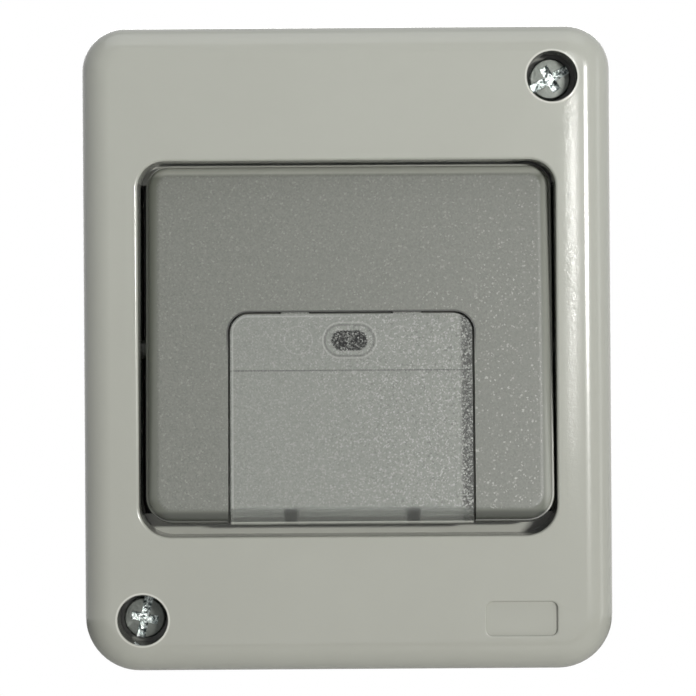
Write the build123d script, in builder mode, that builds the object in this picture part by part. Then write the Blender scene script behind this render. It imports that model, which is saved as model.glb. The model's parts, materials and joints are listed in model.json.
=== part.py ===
"""Weatherproof surface push button switch with a lit label window.

The switch hangs on a wall. X runs to the right, Z runs up and the wall is the plane Y = 0, with the
room on its -Y side. Every height in this file is measured from the wall towards the room. The origin
is the middle of the back box's footprint on the wall. All lengths are millimetres.

A back box carries a contact block. A deep cover sits over the box like a lid, on a rubber gasket, and
two screws in corner wells hold it. A rocker turns on two side pins in the cover's opening. It pushes a
plunger through a rubber membrane, the plunger carries a contact bridge down on two fixed contacts, and
a coil spring brings both back. A lamp behind the rocker lights the label window through a light guide.
"""

import math
import os

from build123d import *

# Housing outline, measured where the cover's skirt ends
body_width = 66.7
body_height = 81.1
body_top_radius = 5.8
body_bottom_radius = 7.2
mould_draft = 1.0  # degrees

# Cover
front_height = 48.0
skirt_end = 24.0
cover_wall = 2.2
cover_face = 2.4
front_edge_radius = 3.6
seal_bead_width = 0.8

# Opening for the rocker, with the collar and ledge moulded round it
opening_side_gap = 0.6
opening_end_gap = 0.93
opening_top_radius = 3.3
opening_bottom_radius = 3.9
opening_edge_radius = 0.35
collar_wall = 1.8
collar_foot = 35.4
ledge_height = 40.4
ledge_thickness = 2.4
ledge_reach = 2.6

# Cover screws in their wells, at the upper right and lower left corners
screw_inset_x = 7.7  # from the housing's outline to a screw's middle
screw_inset_z = 6.9
well_radius = 3.16
well_wall = 1.5
well_floor = 2.0
well_edge_radius = 0.25
head_radius = 2.62
head_height = 2.2
head_depth = 4.4
head_crown = 0.3
slot_width = 1.1
slot_depth = 1.2
cross_span = 3.4
cover_screw_radius = 1.45
cover_screw_length = 24.0
screw_tip = 0.5
spacer_radius = 3.7
upper_slot_angle = 30.0  # degrees from +X
lower_slot_angle = 78.0

# Recessed plate at the lower right, left bare
plate_width = 8.8
plate_height = 4.2
plate_radius = 0.8
plate_depth = 0.5
plate_inset_x = 11.85  # from the housing's outline to the plate's middle
plate_inset_z = 6.79

# Back box
box_wall = 2.0
box_floor = 2.5
box_rim = 30.0
lid_clearance = 0.25
bead_reach = 1.7
bead_thickness = 1.4
bead_gap = 0.2
pilot_clearance = 0.05
pilot_depth = 26.0

# Gasket between the box rim and the cover's sealing rib
gasket_thickness = 1.2
gasket_width = 1.5
gasket_relief = 0.2
gasket_clearance = 0.1

# Wall screw holes in the box floor
wall_hole_radius = 2.25
wall_hole_pitch = 60.0
wall_seat_radius = 4.5
wall_seat_depth = 0.8

# Rear knock-out, a thin ring in the floor
knockout_radius = 6.0
knockout_groove = 1.0
knockout_depth = 1.6

# Cable entries in the top and bottom walls, closed by membrane grommets
entry_height = 12.0
entry_radius = 8.1
entry_pad_radius = 10.0
entry_pad_reach = 0.25
grommet_clearance = 0.1
grommet_flange_radius = 9.5
grommet_flange = 1.6
grommet_lip_radius = 8.9
grommet_lip = 1.2
grommet_skin = 1.0
nipple_base_radius = 4.6
nipple_taper = 24.0  # degrees
nipple_reach = 2.4

# Rocker. It rests with its lower edge out, and its sizes are taken square to its own face
rest_tilt = 5.5  # degrees
press_angle = 8.0  # degrees of travel, used by the plunger
pivot_height = 40.0
rocker_x = 0.25
rocker_width = 50.8
rocker_height = 44.86
rocker_middle = 0.18
rocker_top_radius = 2.9
rocker_bottom_radius = 3.4
rocker_face = 7.2
rocker_rim = 5.5
rocker_rim_step = 0.25
rocker_edge_radius = 1.6
rocker_skirt_end = 3.2
rocker_wall = 1.6
rocker_face_wall = 2.0
pin_radius = 1.2
pin_length = 1.7
pin_clearance = 0.05
pin_end_clearance = 0.1
ear_radius = 1.6
ear_width = 6.4
post_radius = 1.8

# Label window let into the rocker's lower half
window_x = 0.23
window_width = 30.1
window_top = 3.6
window_bottom = -22.45
window_corner = 2.3
window_gap = 0.3
window_thickness = 1.4
window_rise = 0.1
window_seat_gap = 0.1
window_lip = 1.0
window_lip_gap = 0.2
window_lip_end = 3.5
window_edge_radius = 1.6
tongue_width = 3.5
tongue_reach = 0.65
tongue_thickness = 0.7
tongue_x = 7.0
hook_x = 7.6
hook_width = 1.6
hook_thickness = 1.05
hook_y = -20.95
hook_end = 3.2
hook_barb = 0.6
hook_barb_thickness = 0.5
hook_clearance = 0.25
tray_wall = 1.5
tray_thickness = 1.35
break_radius = 0.12

# Label card under the window
card_top = -3.45
card_bottom = -19.3
card_thickness = 0.3
card_recess = 0.35
card_width = 28.6
card_margin = 0.2

# Light guide and the round marks each side of it
guide_x = 0.0
guide_y = 0.6
guide_length = 6.4
guide_width = 4.15
guide_bore_length = 4.6
guide_bore_width = 2.6
guide_foot = 1.6
guide_roof = 0.9
guide_clearance = 0.1
guide_collar = 1.2
guide_collar_foot = 2.3
guide_flange = 0.6
mark_radius = 1.55
mark_x = 6.4
mark_depth = 0.2

# Rubber membrane under the ledge, and the frame that holds it
membrane_thickness = 0.8
membrane_clearance = 0.2
dome_outer_radius = 4.2
dome_wall = 0.8
dome_rise = 3.5
dome_taper = 12.0
dome_round = 0.6
lens_radius = 3.0
lens_rise = 0.4
lens_edge = 0.3
lens_flange_radius = 4.0
lens_flange = 0.6
lens_fit = 0.02
frame_thickness = 1.6
frame_width = 3.0
frame_clearance = 0.12

# Contact block body on its posts
block_size = 42.0
block_foot = 9.0
block_top = 27.0
block_corner = 2.0
stand_radius = 3.4
block_screw_x = 17.6
block_screw_radius = 1.45
block_screw_length = 13.0
block_screw_seat = 18.0
block_head_radius = 2.5
block_head_height = 1.8
small_slot_width = 0.7
hole_clearance = 0.3

# Contact chamber, plunger and springs
plunger_z = -12.0
chamber_width = 21.0
chamber_height = 11.0
strip_seat = 19.0
spring_well_radius = 3.1
spring_well_floor = 12.5
stem_radius = 1.9
stem_clearance = 0.08
stem_crown = 0.4
collar_radius = 3.4
stop_collar = 1.2
stop_clearance = 0.1
neck_radius = 1.4
retainer_radius = 2.2
retainer_thickness = 1.2
push_gap = 0.1
return_wire = 0.3
return_mean_radius = 1.8
return_turns = 6.5
contact_wire = 0.2
contact_mean_radius = 2.1
contact_turns = 3.0

# Contacts and terminals
strip_thickness = 0.8
strip_width = 5.0
strip_clearance = 0.1
strip_inner_x = 4.4
strip_edge = 1.2
loop_inner_x = 11.2
contact_x = 6.0
contact_radius = 1.4
contact_height = 0.6
contact_reserve = 0.12
bridge_length = 15.0
bridge_width = 5.0
bridge_thickness = 0.8
bridge_corner = 0.8
terminal_x = 15.5
terminal_z = 12.0
terminal_width = 7.4
terminal_height = 9.0
terminal_floor = 14.0
terminal_screw_radius = 1.45
terminal_screw_end = 16.0
terminal_head_radius = 2.6
terminal_head_height = 2.0
terminal_slot_width = 0.9
clamp_width = 5.6
clamp_height = 6.4
clamp_thickness = 1.0
wire_gap = 1.2
wire_hole_radius = 1.7

# Guide plate over the contact chamber
guide_plate_width = 22.0
guide_plate_top = 8.5
guide_plate_bottom = -18.5
guide_plate_thickness = 2.0
guide_sleeve_radius = 3.6
guide_sleeve_height = 2.0
plate_screw_x = 8.8
plate_screw_z = -3.2
plate_screw_radius = 1.0
plate_screw_length = 7.0
plate_head_radius = 1.9
plate_head_height = 1.4

# Lamp and its holder
lamp_z = 1.0
lamp_radius = 2.4
lamp_top = 35.8
lamp_dome = 2.1
lamp_seat = 26.0
holder_radius = 3.6
holder_foot = 24.5
holder_flange_radius = 4.6
holder_flange = 0.8
holder_top = 32.0
holder_sleeve_radius = 3.3
holder_clearance = 0.1
lamp_clearance = 0.05
lamp_chamber_radius = 4.2
lead_radius = 0.35
lead_pitch = 2.4
lead_x = 13.2
lead_end_z = -11.0
lead_channel = 1.6
lead_bend = 1.0


def level(height):
    """The plane parallel to the wall at a height above it. Its local x is X and its local y is Z."""
    return Plane.XZ.offset(height)


def panel(width, height, top_radius, bottom_radius, middle=0):
    """A rectangle whose upper and lower corners have their own radii."""
    with BuildSketch() as outline:
        with Locations((0, middle)):
            Rectangle(width, height)
        fillet(outline.vertices().group_by(Axis.Y)[-1], top_radius)
        fillet(outline.vertices().group_by(Axis.Y)[0], bottom_radius)
    return outline.sketch


def inset(outline, amount):
    """The outline drawn in by an amount on every side, or out where the amount is negative."""
    return offset(outline, amount=-amount, mode=Mode.PRIVATE)


def drafted(length):
    """How far a wall of this length leans in."""
    return length * math.tan(math.radians(mould_draft))


def coil(x, z, foot, top, mean_radius, wire_radius, turns):
    """An open coil spring between two heights, with its axis square to the wall."""
    height = top - foot - 2 * wire_radius
    with BuildPart() as spring:
        with BuildLine(mode=Mode.PRIVATE) as path:
            Helix(
                pitch=height / turns,
                height=height,
                radius=mean_radius,
                center=(x, -(foot + wire_radius), z),
                direction=(0, -1, 0),
            )
        wire = path.line.edges()[0]
        with BuildSketch(Plane(origin=wire @ 0, z_dir=wire % 0)):
            Circle(wire_radius)
        sweep(path=wire, is_frenet=True)
    return spring.part


def finish(part, label):
    """Labels a finished piece and writes it to its own file."""
    part.label = label
    export_step(part, f"parts/{label}.step")


os.makedirs("parts", exist_ok=True)

# Values that follow from the driving dimensions
tilt = math.radians(rest_tilt)
rocker_plane = Plane(
    origin=(rocker_x, -pivot_height, 0),
    x_dir=(1, 0, 0),
    z_dir=(0, -math.cos(tilt), math.sin(tilt)),
)
body_outline = panel(body_width, body_height, body_top_radius, body_bottom_radius)
opening_width = rocker_width + 2 * opening_side_gap
opening_height = rocker_height + 2 * opening_end_gap
opening_outline = panel(opening_width, opening_height, opening_top_radius, opening_bottom_radius)
rocker_outline = panel(
    rocker_width, rocker_height, rocker_top_radius, rocker_bottom_radius, rocker_middle
)
box_outline = inset(body_outline, cover_wall + lid_clearance)
screw_x = body_width / 2 - screw_inset_x
screw_z = body_height / 2 - screw_inset_z
screw_spots = [(screw_x, screw_z), (-screw_x, -screw_z)]
plate_spot = (body_width / 2 - plate_inset_x, plate_inset_z - body_height / 2)
head_top = front_height - head_depth
head_seat = head_top - head_height
ledge_foot = ledge_height - ledge_thickness
seal_line = cover_wall + lid_clearance + box_wall / 2
box_half_height = body_height / 2 - cover_wall - lid_clearance
entry_outer = box_half_height + entry_pad_reach
entry_inner = box_half_height - box_wall - drafted(box_rim)
window_foot = rocker_face + window_rise - window_thickness
tray_floor = window_foot - window_seat_gap
tray_under = tray_floor - card_recess - tray_thickness
plate_top = block_top + guide_plate_thickness
collar_top = block_top - stop_clearance
membrane_foot = ledge_foot - membrane_thickness
dome_top = ledge_foot + dome_rise
plunger_top = dome_top - dome_wall - push_gap
post_rise = dome_top + push_gap + post_radius - pivot_height
press = math.radians(press_angle)
press_travel = post_rise * (1 - math.cos(press)) + abs(plunger_z) * math.sin(press)
strip_top = strip_seat + strip_thickness
strip_outer_x = block_size / 2 - strip_edge
bridge_foot = strip_top + 2 * contact_height + press_travel + contact_reserve
bridge_top = bridge_foot + bridge_thickness
clamp_foot = strip_top + wire_gap
clamp_top = clamp_foot + clamp_thickness
wire_hole_height = strip_top + wire_gap / 2
switch_spots = [(-terminal_x, plunger_z), (terminal_x, plunger_z)]
terminal_spots = switch_spots + [(-terminal_x, terminal_z)]
block_screw_spots = [(-block_screw_x, 0), (block_screw_x, 0)]
plate_screw_spots = [(-plate_screw_x, plate_screw_z), (plate_screw_x, plate_screw_z)]
lead_level = strip_top + lead_radius
rocker_up = Axis(rocker_plane.origin, rocker_plane.z_dir)


def rocker_level(height):
    """The plane parallel to the rocker's face at a height above its pivot axis."""
    return rocker_plane.offset(height)


# Back box
with BuildPart() as base_box:
    with BuildSketch(level(box_rim)):
        add(box_outline)
    extrude(amount=-box_rim, taper=mould_draft)
    with BuildSketch(level(skirt_end - bead_gap)):
        add(inset(box_outline, -bead_reach))
    extrude(amount=-bead_thickness)
    with BuildSketch(level(box_rim)):
        add(inset(box_outline, box_wall))
    extrude(amount=-(box_rim - box_floor), taper=mould_draft, mode=Mode.SUBTRACT)
    for side in (-1, 1):
        with BuildSketch(Plane.XY.offset(side * entry_inner)):
            with Locations((0, -entry_height)):
                Circle(entry_pad_radius)
        extrude(amount=side * (entry_outer - entry_inner))
    with BuildSketch(level(0)):
        with Locations(*screw_spots):
            Circle(spacer_radius)
    extrude(amount=box_rim)
    with BuildSketch(level(0)):
        with Locations(*block_screw_spots):
            Circle(stand_radius)
    extrude(amount=block_foot)
    with BuildSketch(level(box_rim)):
        with Locations(*screw_spots):
            Circle(cover_screw_radius + pilot_clearance)
    extrude(amount=-pilot_depth, mode=Mode.SUBTRACT)
    with BuildSketch(level(block_foot)):
        with Locations(*block_screw_spots):
            Circle(block_screw_radius + pilot_clearance)
    extrude(amount=-(block_foot - box_floor / 2), mode=Mode.SUBTRACT)
    with Locations(level(box_floor)):
        with GridLocations(0, wall_hole_pitch, 1, 2):
            CounterBoreHole(wall_hole_radius, wall_seat_radius, wall_seat_depth)
    with BuildSketch(level(box_floor)):
        Circle(knockout_radius + knockout_groove)
        Circle(knockout_radius, mode=Mode.SUBTRACT)
    extrude(amount=-knockout_depth, mode=Mode.SUBTRACT)
    with BuildSketch(Plane.XY.offset(-body_height)):
        with Locations((0, -entry_height)):
            Circle(entry_radius)
    extrude(amount=2 * body_height, mode=Mode.SUBTRACT)
finish(base_box.part, "base_box")

# Gasket on the box rim, squeezed by the cover's bead
with BuildPart() as base_gasket:
    with BuildSketch(level(box_rim)):
        add(inset(body_outline, seal_line - gasket_width / 2))
        add(inset(body_outline, seal_line + gasket_width / 2), mode=Mode.SUBTRACT)
    extrude(amount=gasket_thickness)
    with BuildSketch(level(box_rim + gasket_thickness)):
        add(inset(body_outline, seal_line - seal_bead_width / 2))
        add(inset(body_outline, seal_line + seal_bead_width / 2), mode=Mode.SUBTRACT)
    extrude(amount=-gasket_relief, mode=Mode.SUBTRACT)
finish(base_gasket.part, "base_gasket")

# Cover
seal_inner = seal_line + gasket_width / 2 + gasket_clearance
with BuildPart() as cover_frame:
    with BuildSketch(level(skirt_end)):
        add(body_outline)
    extrude(amount=front_height - skirt_end, taper=mould_draft)
    fillet(cover_frame.faces().sort_by(Axis.Y)[0].edges(), front_edge_radius)
    with BuildSketch(level(skirt_end)):
        add(inset(body_outline, cover_wall))
    extrude(amount=box_rim + gasket_thickness - skirt_end, mode=Mode.SUBTRACT)
    with BuildSketch(level(box_rim + gasket_thickness)):
        add(inset(body_outline, seal_inner))
    extrude(
        amount=front_height - cover_face - box_rim - gasket_thickness,
        taper=mould_draft,
        mode=Mode.SUBTRACT,
    )
    with BuildSketch(level(box_rim + gasket_thickness)):
        add(inset(body_outline, seal_line - seal_bead_width / 2))
        add(inset(body_outline, seal_line + seal_bead_width / 2), mode=Mode.SUBTRACT)
    extrude(amount=-gasket_relief)
    with BuildSketch(level(collar_foot)):
        add(inset(opening_outline, -collar_wall))
    extrude(amount=front_height - cover_face - collar_foot)
    with BuildSketch(level(head_seat - well_floor)):
        with Locations(*screw_spots):
            Circle(well_radius + well_wall)
    extrude(amount=front_height - cover_face - head_seat + well_floor)
    with BuildSketch(level(box_rim)):
        with Locations(*screw_spots):
            Circle(spacer_radius)
        add(inset(body_outline, seal_inner), mode=Mode.INTERSECT)
    extrude(amount=head_seat - well_floor - box_rim)
    with BuildSketch(level(front_height)):
        add(opening_outline)
    extrude(amount=-(front_height - ledge_height), mode=Mode.SUBTRACT)
    with BuildSketch(level(ledge_foot)):
        add(opening_outline)
    extrude(amount=-(ledge_foot - collar_foot), mode=Mode.SUBTRACT)
    with BuildSketch(level(ledge_height)):
        Rectangle(opening_width, opening_height - 2 * ledge_reach)
    extrude(amount=-ledge_thickness, mode=Mode.SUBTRACT)
    with BuildSketch(level(front_height)):
        with Locations(*screw_spots):
            Circle(well_radius)
    extrude(amount=-(front_height - head_seat), mode=Mode.SUBTRACT)
    with BuildSketch(level(head_seat)):
        with Locations(*screw_spots):
            Circle(cover_screw_radius + hole_clearance)
    extrude(amount=-(head_seat - box_rim), mode=Mode.SUBTRACT)
    with BuildSketch(level(front_height)):
        with Locations(plate_spot):
            RectangleRounded(plate_width, plate_height, plate_radius)
    extrude(amount=-plate_depth, mode=Mode.SUBTRACT)
    pin_hole_end = abs(rocker_x) + rocker_width / 2 + pin_length + pin_end_clearance
    with BuildSketch(Plane.YZ.offset(-pin_hole_end)):
        with Locations((-pivot_height, 0)):
            Circle(pin_radius + pin_clearance)
    extrude(amount=2 * pin_hole_end, mode=Mode.SUBTRACT)
    front_rims = cover_frame.faces().sort_by(Axis.Y)[0].inner_wires()
    opening_rim = front_rims.sort_by(SortBy.LENGTH)[-1]
    well_rims = front_rims.sort_by(SortBy.LENGTH)[: len(screw_spots)]
    fillet(opening_rim.edges(), opening_edge_radius)
    fillet([rim.edges()[0] for rim in well_rims], well_edge_radius)
finish(cover_frame.part, "cover_frame")

# Cover screws, each with one full slot and a shorter cross slot
with BuildPart() as cover_screws:
    with BuildSketch(level(head_seat)):
        with Locations(*screw_spots):
            Circle(head_radius)
    extrude(amount=head_height)
    crowns = cover_screws.edges().filter_by(GeomType.CIRCLE).group_by(Axis.Y)[0]
    fillet(crowns, head_crown)
    for spot, angle in zip(screw_spots, (upper_slot_angle, lower_slot_angle)):
        with BuildSketch(level(head_top)):
            with Locations(Location((*spot, 0), (0, 0, angle))):
                Rectangle(2 * head_radius, slot_width)
                Rectangle(slot_width, cross_span)
        extrude(amount=-slot_depth, mode=Mode.SUBTRACT)
    with BuildSketch(level(head_seat)):
        with Locations(*screw_spots):
            Circle(cover_screw_radius)
    extrude(amount=-cover_screw_length)
    tips = cover_screws.edges().filter_by(GeomType.CIRCLE).group_by(Axis.Y)[-1]
    chamfer(tips, screw_tip)
finish(cover_screws.part, "cover_screws")

# Rocker. Its face plate steps in from the rim, which leaves the soft bevel seen round it
pocket_top = window_top + window_gap
pocket_width = window_width + 2 * window_gap
pocket_foot = window_bottom + window_lip + window_lip_gap
tray_top = pocket_top + tray_wall
tray_width = pocket_width + 2 * tray_wall
rocker_bottom = rocker_middle - rocker_height / 2
tongue_spots = (window_x - tongue_x, window_x + tongue_x)
hook_spots = (window_x - hook_x, window_x + hook_x)
post_centre = rocker_plane.to_local_coords(
    Vector(0, -(dome_top + push_gap + post_radius), plunger_z)
)


def strip_between(lower, upper, width, x=0):
    """A rectangle of one width between two positions along the sketch's own y."""
    with Locations((x, (lower + upper) / 2)):
        Rectangle(width, upper - lower)


def stadium(length, width):
    """A slot shape round the light guide's centre."""
    with Locations((guide_x, guide_y)):
        SlotOverall(length, width)


with BuildPart() as rocker:
    with BuildSketch(rocker_level(rocker_skirt_end)):
        add(rocker_outline)
    extrude(amount=rocker_rim - rocker_skirt_end)
    fillet(rocker.faces().sort_by(rocker_up)[-1].edges(), break_radius)
    with BuildSketch(rocker_level(rocker_rim)):
        add(inset(rocker_outline, rocker_rim_step))
    extrude(amount=rocker_face - rocker_rim)
    fillet(rocker.faces().sort_by(rocker_up)[-1].edges(), rocker_edge_radius)
    with BuildSketch(rocker_level(rocker_skirt_end)):
        add(inset(rocker_outline, rocker_wall))
    extrude(amount=rocker_face - rocker_face_wall - rocker_skirt_end, mode=Mode.SUBTRACT)
    # Tray under the window, with the wall behind the window's lip
    with BuildSketch(rocker_level(tray_under)):
        strip_between(rocker_bottom + rocker_wall, tray_top, tray_width, window_x)
    extrude(amount=rocker_face - rocker_face_wall - tray_under)
    with BuildSketch(rocker_level(rocker_skirt_end)):
        strip_between(pocket_foot, pocket_foot + tray_wall, tray_width, window_x)
    extrude(amount=tray_floor - rocker_skirt_end)
    with BuildSketch(rocker_level(rocker_skirt_end)):
        strip_between(rocker_bottom - rocker_wall, pocket_foot, pocket_width, window_x)
    extrude(amount=rocker_face, mode=Mode.SUBTRACT)
    with BuildSketch(rocker_level(tray_floor)) as pocket:
        strip_between(rocker_bottom - rocker_wall, pocket_top, pocket_width, window_x)
        fillet(pocket.vertices().group_by(Axis.Y)[-1], window_corner + window_gap)
    extrude(amount=rocker_face, mode=Mode.SUBTRACT)
    # Recess for the card, slots for the tongues, notches for the hooks
    with BuildSketch(rocker_level(tray_floor)):
        recess_width = card_width + 2 * card_margin
        strip_between(card_bottom - card_margin, card_top + card_margin, recess_width, window_x)
    extrude(amount=-card_recess, mode=Mode.SUBTRACT)
    tongue_slot = tongue_width + 2 * hook_clearance
    with BuildSketch(rocker_level(tray_floor)):
        for x in tongue_spots:
            strip_between(window_top, window_top + tongue_reach + hook_clearance, tongue_slot, x)
    extrude(amount=tongue_thickness + 2 * window_seat_gap, mode=Mode.SUBTRACT)
    with BuildSketch(rocker_level(rocker_skirt_end)):
        for x in hook_spots:
            upper = hook_y + hook_thickness / 2 + hook_clearance
            strip_between(pocket_foot - hook_clearance, upper, hook_width + 2 * hook_clearance, x)
    extrude(amount=tray_floor, mode=Mode.SUBTRACT)
    # Socket for the light guide and the round marks each side of it
    with BuildSketch(rocker_level(guide_collar_foot)):
        stadium(guide_length + 2 * guide_collar, guide_width + 2 * guide_collar)
    extrude(amount=tray_floor - guide_collar_foot)
    with BuildSketch(rocker_level(guide_foot)):
        stadium(guide_length + 2 * guide_clearance, guide_width + 2 * guide_clearance)
    extrude(amount=rocker_face, mode=Mode.SUBTRACT)
    with BuildSketch(rocker_level(tray_floor)):
        with Locations((guide_x - mark_x, guide_y), (guide_x + mark_x, guide_y)):
            Circle(mark_radius)
    extrude(amount=-mark_depth, mode=Mode.SUBTRACT)
    # Rounded post over the membrane's dome
    with BuildSketch(rocker_level(post_centre.Z)):
        with Locations((post_centre.X, post_centre.Y)):
            Circle(post_radius)
    extrude(amount=tray_under - post_centre.Z)
    with Locations(rocker_plane * Location(post_centre)):
        Sphere(post_radius)
    # Ears with the pivot pins
    for side in (-1, 1):
        ear_plane = Plane(rocker_plane.origin, x_dir=rocker_plane.y_dir, z_dir=(side, 0, 0))
        with BuildSketch(ear_plane.offset(rocker_width / 2 - rocker_wall)):
            with Locations((0, side * rocker_skirt_end / 2)):
                Rectangle(ear_width, rocker_skirt_end)
            Circle(ear_radius)
        extrude(amount=rocker_wall)
        with BuildSketch(ear_plane.offset(rocker_width / 2)):
            Circle(pin_radius)
        extrude(amount=pin_length)
finish(rocker.part, "rocker")

# Label window, held by two tongues at its top and two hooks near its lip
with BuildPart() as rocker_window:
    with BuildSketch(rocker_level(window_foot)) as pane:
        strip_between(window_bottom, window_top, window_width, window_x)
        fillet(pane.vertices().group_by(Axis.Y)[-1], window_corner)
    extrude(amount=window_thickness)
    with BuildSketch(rocker_level(window_lip_end)):
        strip_between(window_bottom, window_bottom + window_lip, window_width, window_x)
    extrude(amount=window_foot - window_lip_end)
    lip_edge = rocker_window.faces().sort_by(rocker_up)[-1].edges().sort_by(Axis.Z)[0]
    fillet(lip_edge, window_edge_radius)
    with BuildSketch(rocker_level(window_foot)):
        for x in tongue_spots:
            strip_between(window_top - tongue_reach, window_top + tongue_reach, tongue_width, x)
    extrude(amount=tongue_thickness)
    with BuildSketch(rocker_level(hook_end)):
        with Locations(*[(x, hook_y) for x in hook_spots]):
            Rectangle(hook_width, hook_thickness)
    extrude(amount=window_foot - hook_end)
    with BuildSketch(rocker_level(hook_end)):
        for x in hook_spots:
            strip_between(hook_y, hook_y + hook_thickness / 2 + hook_barb, hook_width, x)
    extrude(amount=hook_barb_thickness)
finish(rocker_window.part, "rocker_window")

# Label card in its recess under the window
with BuildPart() as label_card:
    with BuildSketch(rocker_level(tray_floor - card_recess)):
        strip_between(card_bottom, card_top, card_width, window_x)
    extrude(amount=card_thickness)
finish(label_card.part, "label_card")

# Light guide, a clear plug with a blind bore over the lamp
with BuildPart() as light_guide:
    with BuildSketch(rocker_level(guide_foot)):
        stadium(guide_length, guide_width)
    extrude(amount=tray_floor - guide_foot)
    with BuildSketch(rocker_level(guide_foot)):
        stadium(guide_length + 2 * guide_flange, guide_width + 2 * guide_flange)
    extrude(amount=guide_collar_foot - guide_foot)
    with BuildSketch(rocker_level(guide_foot)):
        stadium(guide_bore_length, guide_bore_width)
    extrude(amount=tray_floor - guide_roof - guide_foot, mode=Mode.SUBTRACT)
finish(light_guide.part, "light_guide")

# Splash membrane with a dome over the plunger
with BuildPart() as splash_membrane:
    with BuildSketch(level(membrane_foot)):
        add(inset(opening_outline, membrane_clearance))
    extrude(amount=membrane_thickness)
    with BuildSketch(level(ledge_foot)):
        with Locations((0, plunger_z)):
            Circle(dome_outer_radius)
    extrude(amount=dome_rise, taper=dome_taper)
    dome_crown = splash_membrane.faces().sort_by(Axis.Y)[0].edges()
    fillet(dome_crown, dome_round)
    with BuildSketch(level(membrane_foot)):
        with Locations((0, plunger_z)):
            Circle(dome_outer_radius - dome_wall)
    extrude(amount=membrane_thickness + dome_rise - dome_wall, taper=dome_taper, mode=Mode.SUBTRACT)
    with BuildSketch(level(membrane_foot)):
        with Locations((0, lamp_z)):
            Circle(lens_radius + lens_fit)
    extrude(amount=membrane_thickness, mode=Mode.SUBTRACT)
finish(splash_membrane.part, "splash_membrane")

# Clear lens in the membrane, over the lamp
with BuildPart() as lamp_lens:
    with BuildSketch(level(membrane_foot)):
        with Locations((0, lamp_z)):
            Circle(lens_radius)
    extrude(amount=membrane_thickness + lens_rise)
    fillet(lamp_lens.edges().filter_by(GeomType.CIRCLE).group_by(Axis.Y)[0], lens_edge)
    with BuildSketch(level(membrane_foot)):
        with Locations((0, lamp_z)):
            Circle(lens_flange_radius)
    extrude(amount=-lens_flange)
finish(lamp_lens.part, "lamp_lens")

# Frame that clamps the membrane against the ledge
with BuildPart() as membrane_frame:
    with BuildSketch(level(membrane_foot)):
        add(inset(opening_outline, frame_clearance))
        add(inset(opening_outline, frame_clearance + frame_width), mode=Mode.SUBTRACT)
    extrude(amount=-frame_thickness)
finish(membrane_frame.part, "membrane_frame")

# Contact block, a moulding with a chamber for the bridge and wells for the terminals
with BuildPart() as contact_block:
    with BuildSketch(level(block_foot)):
        RectangleRounded(block_size, block_size, block_corner)
    extrude(amount=block_top - block_foot)
    with BuildSketch(level(block_top)):
        with Locations((0, plunger_z)):
            Rectangle(chamber_width, chamber_height)
    extrude(amount=-(block_top - strip_seat), mode=Mode.SUBTRACT)
    with BuildSketch(level(strip_seat)):
        with Locations((0, plunger_z)):
            Circle(spring_well_radius)
    extrude(amount=-(strip_seat - spring_well_floor), mode=Mode.SUBTRACT)
    with BuildSketch(level(block_top)):
        with Locations(*terminal_spots):
            Rectangle(terminal_width, terminal_height)
    extrude(amount=-(block_top - terminal_floor), mode=Mode.SUBTRACT)
    # Channels that the contact strips drop into
    strip_channel = strip_width + 2 * strip_clearance
    strip_end = strip_outer_x + strip_clearance
    with BuildSketch(level(block_top)):
        with Locations((0, plunger_z)):
            Rectangle(2 * strip_end, strip_channel)
        with Locations((-(strip_end + loop_inner_x) / 2, terminal_z)):
            Rectangle(strip_end - loop_inner_x, strip_channel)
    extrude(amount=-(block_top - strip_seat), mode=Mode.SUBTRACT)
    # Wire holes from the lower and upper edges
    with BuildSketch(Plane.XY.offset(-block_size / 2)):
        with Locations(*[(x, -wire_hole_height) for x, z in switch_spots]):
            Circle(wire_hole_radius)
    extrude(amount=block_size / 2 + plunger_z, mode=Mode.SUBTRACT)
    with BuildSketch(Plane.XY.offset(terminal_z)):
        with Locations((-terminal_x, -wire_hole_height)):
            Circle(wire_hole_radius)
    extrude(amount=block_size / 2 - terminal_z, mode=Mode.SUBTRACT)
    # Lamp chamber and the channels for its leads
    with BuildSketch(level(block_top)):
        with Locations((0, lamp_z)):
            Circle(lamp_chamber_radius)
            Rectangle(2 * lead_x + lead_channel, lead_channel)
        for x in (-lead_x, lead_x):
            strip_between(plunger_z, lamp_z + lead_channel / 2, lead_channel, x)
    extrude(amount=-(block_top - strip_top), mode=Mode.SUBTRACT)
    # Screw holes
    with Locations(level(block_top)):
        with Locations(*block_screw_spots):
            CounterBoreHole(
                block_screw_radius + hole_clearance,
                block_head_radius + hole_clearance,
                block_top - block_screw_seat,
            )
    with BuildSketch(level(block_top)):
        with Locations(*plate_screw_spots):
            Circle(plate_screw_radius + pilot_clearance)
    extrude(amount=-plate_screw_length, mode=Mode.SUBTRACT)
finish(contact_block.part, "contact_block")


def pan_screws(spots, seat, radius, length, round_head, head_rise, slot):
    """Slotted pan head screws, all alike, with their heads seated at one height."""
    with BuildPart() as screws:
        with BuildSketch(level(seat)):
            with Locations(*spots):
                Circle(round_head)
        extrude(amount=head_rise)
        fillet(screws.edges().filter_by(GeomType.CIRCLE).group_by(Axis.Y)[0], head_crown)
        with BuildSketch(level(seat + head_rise)):
            with Locations(*spots):
                Rectangle(2 * round_head, slot)
        extrude(amount=-head_rise / 2, mode=Mode.SUBTRACT)
        with BuildSketch(level(seat)):
            with Locations(*spots):
                Circle(radius)
        extrude(amount=-length)
    return screws.part


finish(
    pan_screws(
        block_screw_spots,
        block_screw_seat,
        block_screw_radius,
        block_screw_length,
        block_head_radius,
        block_head_height,
        small_slot_width,
    ),
    "block_screws",
)

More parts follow.
